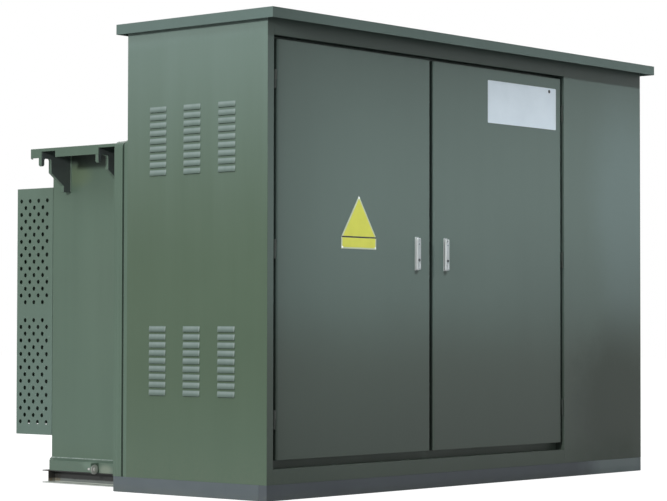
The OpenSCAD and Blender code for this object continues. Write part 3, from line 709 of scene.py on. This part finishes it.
louvres = {"width": 0.112, "height": 0.0275, "out": 0.0080, "top": 0.0022, "end": 0.0075,
           "endSegments": 3, "skin": 0.0015, "foot": 0.012, "rows": 9, "rowPitch": 0.0385,
           "columns": 3, "columnPitch": 0.229, "firstColumn": 0.260, "groups": (1.712, 0.645),
           "slotLow": -0.0015, "slotHigh": 0.018, "slotEnd": 0.004, "slotOut": 0.004, "slotIn": 0.008}
near = 0.0001


def louvrePlaces():
    for middle in louvres["groups"]:
        for column in range(louvres["columns"]):
            for row in range(louvres["rows"]):
                up = (row - (louvres["rows"] - 1) / 2) * louvres["rowPitch"] - louvres["foot"]
                yield (outerX, frontY + louvres["firstColumn"] + column * louvres["columnPitch"],
                       middle + up)


def pressedHood():
    # a wedge against the wall, leaning out downwards, with drawn-in ends and an open underside
    half = louvres["width"] / 2
    made = cuboid("hood", (-louvres["out"], -half, 0), (0, half, louvres["height"]))
    pick(made, "EDGE", lambda a, b: min(a.z, b.z) > louvres["height"] / 2
         and max(a.x, b.x) < -louvres["out"] / 2)
    bpy.ops.transform.translate(value=(louvres["out"] - louvres["top"], 0, 0))
    leaveEdit()
    pick(made, "EDGE", lambda a, b: abs(a.y - b.y) < near and a.y * b.y > 0
         and max(a.x, b.x) < -louvres["top"] / 2)
    bpy.ops.mesh.bevel(offset=louvres["end"], segments=louvres["endSegments"], affect="EDGES")
    leaveEdit()
    pick(made, "FACE", lambda middle, normal: middle.z < near or middle.x > -near)
    bpy.ops.mesh.delete(type="FACE")
    leaveEdit()
    modify(made, "SOLIDIFY", thickness=louvres["skin"], offset=-1)
    # how far up the hood each corner lies, for the painted shade in its paint
    rise = made.data.attributes.new("rise", "FLOAT", "POINT")
    for corner, item in zip(made.data.vertices, rise.data):
        item.value = corner.co.z / louvres["height"]
    return smoothFaces(made, angle=50)


def rawWall():
    # the sheet with its slots cut through, and the hoods over them
    hood = pressedHood()
    half = louvres["width"] / 2 - louvres["slotEnd"]
    slot = cuboid("slot", (-louvres["slotOut"], -half, louvres["slotLow"]),
                  (louvres["slotIn"], half, louvres["slotHigh"]))
    hoods = [copied(hood, "hoodCopy", place) for place in louvrePlaces()]
    cutters = [copied(slot, "slotCopy", place) for place in louvrePlaces()]
    bpy.data.objects.remove(hood)
    bpy.data.objects.remove(slot)
    sheet = cuboid("sheet", (outerX, wallLow.y, wallLow.z), wallHigh)
    cutBy(sheet, joined("slots", cutters))
    smoothFaces(sheet, angle=30)
    hoodSet = joined("hoodSet", hoods)
    sheet.data.materials.append(wallEnamel)
    hoodSet.data.materials.append(hoodEnamel)
    return joined("side_wall_left_piece", [sheet, hoodSet])


def sideWalls():
    left = rawWall()
    right = mirrored(left, "side_wall_right_piece")
    for wall, node in ((left, "side_wall_left"), (right, "side_wall_right")):
        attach(wall, bodyOf(node))
        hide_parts(node)


sideWalls()
print("side walls with", louvres["rows"] * louvres["columns"] * 2, "louvres each")


# radiators: upright panels with pressed flutes, on header pipes with stubs to the tank

radiators = {"count": 5, "panels": 11, "sheet": 0.004, "fluteThick": 0.012, "flutes": 4,
             "fluteWidth": 0.046, "fluteEnd": 0.040, "fluteEdge": 0.012, "round": 0.030,
             "front": 0.025, "sheetRound": 0.0012, "pipeSides": 32,
             "headerRadius": 0.028, "headerIn": 0.075, "headerBack": 0.075, "headerRound": 0.006,
             "stubRadius": 0.022, "stubSpan": 0.240, "stubRound": 0.002,
             "weld": 0.006, "weldRound": 0.004}


def flute(length):
    # a long flat capsule, which stands out of the sheet on both sides
    straight = length - 2 * radiators["round"]
    bpy.ops.object.select_all(action="DESELECT")
    scale = (radiators["fluteThick"] / 2, radiators["fluteWidth"] / 2, radiators["round"])
    bpy.ops.mesh.primitive_uv_sphere_add(segments=12, ring_count=8, radius=1, scale=scale,
                                         location=(0, 0, -straight / 2))
    made = settle(bpy.context.object, "flute")
    pick(made, "FACE", lambda middle, normal: middle.z > -straight / 2)
    bpy.ops.mesh.extrude_region_move(TRANSFORM_OT_translate={"value": (0, 0, straight)})
    leaveEdit()
    return smoothFaces(made, angle=80)


def radiatorPanel(low, high, panelFront):
    # one upright panel in the middle plane, with its row of flutes
    half = radiators["sheet"] / 2
    sheet = cuboid("panelSheet", (-half, panelFront, low.z), (half, high.y, high.z))
    roundEdges(sheet, radiators["sheetRound"], segments=1)
    one = flute(high.z - low.z - 2 * radiators["fluteEnd"])
    firstY = panelFront + radiators["fluteEdge"] + radiators["fluteWidth"] / 2
    row = high.y - panelFront - radiators["fluteWidth"] - 2 * radiators["fluteEdge"]
    pitch = row / (radiators["flutes"] - 1)
    flutes = [copied(one, "fluteCopy", (0, firstY + i * pitch, (low.z + high.z) / 2))
              for i in range(radiators["flutes"])]
    bpy.data.objects.remove(one)
    return joined("panel", [sheet] + flutes)


def pipe(start, end, radius, edge):
    made = rod("pipe", start, end, radius, radiators["pipeSides"])
    roundEdges(made, edge, segments=3)
    return made


def radiator(number):
    node = "radiator_" + str(number)
    low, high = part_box(node)
    middleX = (low.x + high.x) / 2
    panelFront = tankBack + radiators["front"]
    panel = radiatorPanel(low, high, panelFront)
    pitch = (high.x - low.x - radiators["fluteThick"]) / (radiators["panels"] - 1)
    firstX = middleX - (radiators["panels"] - 1) / 2 * pitch
    pieces = [copied(panel, "panelCopy", (firstX + i * pitch, 0, 0))
              for i in range(radiators["panels"])]
    bpy.data.objects.remove(panel)
    headerY = tankBack + radiators["headerBack"]
    for z in (low.z + radiators["headerIn"], high.z - radiators["headerIn"]):
        pieces.append(pipe((low.x, headerY, z), (high.x, headerY, z),
                           radiators["headerRadius"], radiators["headerRound"]))
        for x in (middleX - radiators["stubSpan"] / 2, middleX + radiators["stubSpan"] / 2):
            pieces.append(pipe((x, tankBack, z), (x, headerY, z),
                               radiators["stubRadius"], radiators["stubRound"]))
            pieces.append(pipe((x, tankBack, z), (x, tankBack + radiators["weld"], z),
                               radiators["stubRadius"] + radiators["weld"], radiators["weldRound"]))
    made = joined(node + "_piece", pieces)
    finishPiece(made, bodyOf(node), "green_enamel", tankEnamel, node)


for number in range(1, radiators["count"] + 1):
    radiator(number)
print("radiators:", radiators["count"])


# welds along the tank's foot, its front plate and its lugs

welds = {"radius": 0.0048, "lugRadius": 0.005, "lugThick": 0.022, "sides": 10,
         "short": 0.004, "skirtShort": 0.002}


def bead(start, end, radius):
    made = rod("bead", start, end, radius, welds["sides"])
    return smoothFaces(made, angle=80)


def tankWelds():
    low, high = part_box("tank_body")
    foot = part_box("tank_skirt")[1].z
    top = high.z - welds["short"]
    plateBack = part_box("tank_front_plate")[1].y
    skirtBeads = []
    beads = []
    for x, lugNode in ((low.x, "lifting_lugs_left"), (high.x, "lifting_lugs_right")):
        skirtBeads.append(bead((x, plateBack, foot), (x, high.y - welds["skirtShort"], foot),
                               welds["radius"]))
        beads.append(bead((x, plateBack, foot), (x, plateBack, top), welds["radius"]))
        lugLow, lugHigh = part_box(lugNode)
        for y in (lugLow.y, lugLow.y + welds["lugThick"], lugHigh.y - welds["lugThick"], lugHigh.y):
            beads.append(bead((x, y, lugLow.z + welds["short"]), (x, y, top), welds["lugRadius"]))
    finishPiece(joined("skirt_welds", skirtBeads), bodyOf("tank_body"), "green_enamel", wornEnamel)
    finishPiece(joined("tank_welds", beads), bodyOf("tank_body"), "green_enamel", tankEnamel)


tankWelds()
print("welds run")


# wide dished washers on both sides of the earthing lug

washers = {"radius": 0.0245, "thick": 0.0022, "rim": 0.35, "dish": 0.0016, "gap": 0.0004,
           "round": 0.0004, "sides": 40}


def washer(name, place, outward, finish):
    end = (place[0], place[1] + outward * washers["thick"], place[2])
    made = rod(name, place, end, washers["radius"], washers["sides"])
    pick(made, "FACE", lambda middle, normal: normal.y * outward > squarely)
    bpy.ops.mesh.inset(thickness=washers["radius"] * washers["rim"], depth=washers["dish"])
    leaveEdit()
    roundEdges(made, washers["round"])
    finishPiece(made, bodyOf("earth_bolt"), None, finish)


def earthWashers():
    lugLow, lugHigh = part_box("earth_lug")
    boltLow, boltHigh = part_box("earth_bolt")
    x = (boltLow.x + boltHigh.x) / 2
    z = (boltLow.z + boltHigh.z) / 2
    washer("earth_washer_front", (x, lugLow.y - washers["gap"], z), -1, boltSteel)
    washer("earth_washer_back", (x, lugHigh.y + washers["gap"], z), 1, wornEnamel)


earthWashers()
print("earthing washers made")


# levers with a lock in their lower part

levers = {"round": 0.0022, "lockUp": 0.30, "lockRadius": 0.0075, "lockOut": 0.0012, "lockIn": 0.003,
          "lockRound": 0.0005, "recessLow": 0.06, "recessHigh": 0.20, "recessWide": 0.55,
          "recessDeep": 0.0025, "keyWide": 0.0022, "keyHigh": 0.009, "keyIn": 0.0015,
          "markRadius": 0.003, "markDown": 0.030, "markOut": 0.0006, "markIn": 0.002,
          "markRound": 0.0004, "past": 0.004, "keyPast": 0.01}


def lever(side):
    node = "handle_lever_" + side
    low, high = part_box(node)
    middle = (low.x + high.x) / 2
    tall = high.z - low.z
    wide = (high.x - low.x) * levers["recessWide"] / 2
    recess = cuboid("recess",
                    (middle - wide, low.y - levers["past"], low.z + tall * levers["recessLow"]),
                    (middle + wide, low.y + levers["recessDeep"], low.z + tall * levers["recessHigh"]))
    softened(node, levers["round"], "handle_metal", handleMetal, cutters=[recess])
    z = low.z + tall * levers["lockUp"]
    ring = rod("lock_ring_" + side, (middle, low.y + levers["lockIn"], z),
               (middle, low.y - levers["lockOut"], z), levers["lockRadius"], sides=32)
    keyX, keyZ = levers["keyWide"] / 2, levers["keyHigh"] / 2
    keyway = cuboid("keyway", (middle - keyX, low.y - levers["keyPast"], z - keyZ),
                    (middle + keyX, low.y + levers["keyIn"], z + keyZ))
    cutBy(ring, keyway)
    roundEdges(ring, levers["lockRound"])
    finishPiece(ring, bodyOf(node), None, lockCore)
    markZ = high.z - levers["markDown"]
    mark = rod("lever_mark_" + side, (middle, low.y + levers["markIn"], markZ),
               (middle, low.y - levers["markOut"], markZ), levers["markRadius"], sides=20)
    roundEdges(mark, levers["markRound"])
    finishPiece(mark, bodyOf(node), None, lockCore)


lever("left")
lever("right")
print("levers made")


# plates on the doors, both without lettering

def flatPiece(name, outline, front, back):
    # an upright sheet with this outline in x and z
    bpy.ops.object.select_all(action="DESELECT")
    bpy.ops.mesh.primitive_circle_add(vertices=len(outline), radius=1, fill_type="NGON",
                                      rotation=(math.radians(90), 0, 0))
    made = settle(bpy.context.object, name)
    for point, (x, z) in zip(made.data.vertices, outline):
        point.co = (x, front, z)
    editAll(made)
    bpy.ops.mesh.extrude_region_move(TRANSFORM_OT_translate={"value": (0, back - front, 0)})
    bpy.ops.mesh.select_all(action="SELECT")
    bpy.ops.mesh.normals_make_consistent(inside=False)
    leaveEdit()
    return made


def rectangle(x0, x1, z0, z1):
    return [(x0, z0), (x1, z0), (x1, z1), (x0, z1)]


def rivet(name, x, z, face, radius, high):
    # a low round head, standing out of the face towards -y
    bpy.ops.object.select_all(action="DESELECT")
    bpy.ops.mesh.primitive_uv_sphere_add(segments=16, ring_count=8, radius=1,
                                         scale=(radius, high, radius), location=(x, face, z))
    made = settle(bpy.context.object, name)
    return smoothFaces(made, angle=80)


def warningPlate():
    # a yellow triangle and strip on a paler plate, with a dark line between them
    settings = {"strip": 0.058, "edge": 0.0075, "seam": 0.0040, "rise": 0.0004, "sunk": 0.0003,
                "round": 0.0004, "fieldRound": 0.0002, "lineEnd": 0.001, "lineClear": 0.0005,
                "rivet": 0.0060, "rivetHigh": 0.0016, "rivetIn": 0.007, "rivetDown": 0.010}
    low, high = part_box("sign_plate")
    middle = (low.x + high.x) / 2
    half = (high.x - low.x) / 2
    foot = low.z + settings["strip"]
    front = low.y
    back = front + settings["sunk"]
    edge, seam = settings["edge"], settings["seam"]
    softened("sign_plate", settings["round"], "yellow_sign", signEdge)
    slope = (high.z - foot) / half
    sideIn = edge * math.hypot(1, slope) / slope
    reach = half - sideIn - seam / slope
    triangle = flatPiece("triangle_field",
                         [(middle - reach, foot + seam), (middle + reach, foot + seam),
                          (middle, foot + seam + reach * slope)],
                         front - settings["rise"], back)
    strip = flatPiece("strip_field",
                      rectangle(low.x + edge, high.x - edge, low.z + edge, foot - seam),
                      front - settings["rise"], back)
    lineEnd, lineHalf = settings["lineEnd"], seam - settings["lineClear"]
    line = flatPiece("joint_line",
                     rectangle(low.x + lineEnd, high.x - lineEnd, foot - lineHalf, foot + lineHalf),
                     front - settings["rise"] / 2, back)
    finishPiece(line, bodyOf("sign_plate"), None, lockCore)
    for field in (triangle, strip):
        roundEdges(field, settings["fieldRound"], segments=1)
        finishPiece(field, bodyOf("sign_plate"), "yellow_sign", yellowField)
    rivetZ = low.z + settings["rivetIn"]
    places = ((middle, high.z - settings["rivetDown"]), (low.x + settings["rivetIn"], rivetZ),
              (high.x - settings["rivetIn"], rivetZ))
    heads = [rivet("rivet", x, z, front, settings["rivet"], settings["rivetHigh"]) for x, z in places]
    finishPiece(joined("sign_rivets", heads), bodyOf("sign_plate"), "handle_metal", handleMetal)


def namePlate():
    # a pale plate with rounded corners, a fine groove inside its rim and one screw
    settings = {"corner": 0.006, "cornerSegments": 5, "rim": 0.006, "groove": 0.0006, "deep": 0.0004,
                "round": 0.0003, "screwIn": 0.062, "screwDown": 0.018, "screwRadius": 0.0098,
                "screwHigh": 0.003, "slotHalf": 0.0008, "slotLong": 0.012, "slotFloor": 0.0018,
                "slotPast": 0.01, "through": 0.0005}
    low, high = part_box("name_plate")
    made = looseCopy("name_plate")
    pick(made, "EDGE", lambda a, b: abs(a.y - b.y) > settings["through"])
    bpy.ops.mesh.bevel(offset=settings["corner"], segments=settings["cornerSegments"], affect="EDGES")
    leaveEdit()
    pick(made, "FACE", lambda middle, normal: normal.y < -squarely)
    bpy.ops.mesh.inset(thickness=settings["rim"], depth=0)
    bpy.ops.mesh.inset(thickness=settings["groove"], depth=-settings["deep"])
    leaveEdit()
    roundEdges(made, settings["round"], segments=1)
    finishPiece(made, bodyOf("name_plate"), "pale_plate", palePlate, "name_plate")
    x = high.x - settings["screwIn"]
    z = high.z - settings["screwDown"]
    screw = rivet("plate_screw", x, z, low.y, settings["screwRadius"], settings["screwHigh"])
    slot = cuboid("slot",
                  (x - settings["slotLong"], low.y - settings["slotPast"], z - settings["slotHalf"]),
                  (x + settings["slotLong"], low.y - settings["slotFloor"], z + settings["slotHalf"]))
    cutBy(screw, slot)
    finishPiece(screw, bodyOf("name_plate"), None, lockCore)


warningPlate()
namePlate()
print("plates made")


# floor, light and camera

def backgroundRays(start):
    # 1 for what the camera sees itself or in a reflection, and 0 for the light that falls on the pieces
    path = {name: start.node("LightPath", None, None, name)
            for name in ("Is Camera Ray", "Is Glossy Ray", "Is Transmission Ray")}
    seen = start.math("MAXIMUM", path["Is Camera Ray"], path["Is Glossy Ray"])
    return start.math("MAXIMUM", seen, path["Is Transmission Ray"])


def paleFloor():
    settings = {"size": 80, "down": 0.0005, "paint": 0.35, "roughness": 0.9, "shine": 0.94}
    bpy.ops.object.select_all(action="DESELECT")
    bpy.ops.mesh.primitive_plane_add(size=settings["size"], location=(0, 0, -settings["down"]))
    floor = settle(bpy.context.object, "floor")
    material = bpy.data.materials.new("paleFloor")
    material.use_nodes = True
    floor.data.materials.append(feed(material, {
        "Base Color": colour(*[settings["paint"]] * 3),
        "Roughness": settings["roughness"],
        "Specular IOR Level": 0.0,
        "Emission Color": colour(1, 1, 1),
        "Emission Strength": backgroundRays(Wire(material.node_tree)) * settings["shine"],
    }))


paleFloor()

ambient = {"strength": 0.25, "tint": (0.97, 1.0, 1.0)}


def studioWorld():
    world = bpy.data.worlds.new("studio")
    bpy.context.scene.world = world
    world.use_nodes = True
    start = Wire(world.node_tree)
    background = world.node_tree.nodes["Background"]
    seen = backgroundRays(start)
    tint = mixed(start, seen, colour(*ambient["tint"]), colour(1, 1, 1))
    world.node_tree.links.new(tint.socket, background.inputs["Color"])
    strength = seen * (1 - ambient["strength"]) + ambient["strength"]
    world.node_tree.links.new(strength.socket, background.inputs["Strength"])


studioWorld()


def softbox(name, settings):
    lamp = bpy.data.lights.new(name, "AREA")
    lamp.shape = "RECTANGLE"
    lamp.size, lamp.size_y = settings["size"]
    lamp.energy = settings["power"]
    lamp.color = settings["tint"]
    lamp.spread = math.radians(settings["spread"])
    box = bpy.data.objects.new(name, lamp)
    bpy.context.scene.collection.objects.link(box)
    place = Vector(settings["place"])
    turn = (Vector(settings["target"]) - place).to_track_quat("-Z", "Y")
    box.matrix_world = Matrix.Translation(place) @ turn.to_matrix().to_4x4()


# frontBox is long and has a grid: it lights the middle of the front and leaves its top and foot darker
softboxes = {
    "keyBox": {"place": (-13.0, -2.6, 4.3), "target": (-1.5, -0.4, 1.2), "size": (1.2, 1.2),
               "power": 750, "tint": (1.0, 1.0, 0.97), "spread": 180},
    "skyBox": {"place": (-5.0, -1.2, 5.6), "target": (-1.5, -0.3, 1.9), "size": (3.0, 1.5),
               "power": 42, "tint": (0.80, 0.90, 1.0), "spread": 180},
    "frontBox": {"place": (0.65, -6.00, 7.50), "target": (0.35, frontY, 1.5), "size": (3.9, 0.5),
                 "power": 12, "tint": (0.92, 0.96, 1.0), "spread": 12},
    "backBox": {"place": (2.0, 8.0, 6.0), "target": (0, 0, 1.0), "size": (4, 3),
                "power": 200, "tint": (1.0, 1.0, 1.0), "spread": 180},
    "rightBox": {"place": (8.0, 0.5, 5.0), "target": (0, 0, 1.0), "size": (3, 3),
                 "power": 200, "tint": (1.0, 1.0, 1.0), "spread": 180},
}
for name, settings in softboxes.items():
    softbox(name, settings)

view = {"place": (-9.521, -8.2054, 0.815), "yaw": 49.38, "pitch": 1.884, "roll": 0.102,
        "lens": 124.39, "sensor": 36, "far": 200}
lens = bpy.data.cameras.new("camera")
lens.lens = view["lens"]
lens.sensor_width = view["sensor"]
lens.clip_end = view["far"]
camera = bpy.data.objects.new("camera", lens)
bpy.context.scene.collection.objects.link(camera)
camera.matrix_world = (Matrix.Translation(view["place"])
                       @ Matrix.Rotation(math.radians(-view["yaw"]), 4, "Z")
                       @ Matrix.Rotation(math.radians(90 + view["pitch"]), 4, "X")
                       @ Matrix.Rotation(math.radians(view["roll"]), 4, "Z"))
bpy.context.scene.camera = camera
bpy.context.scene.view_settings.view_transform = "Standard"
print("floor, light and camera set")
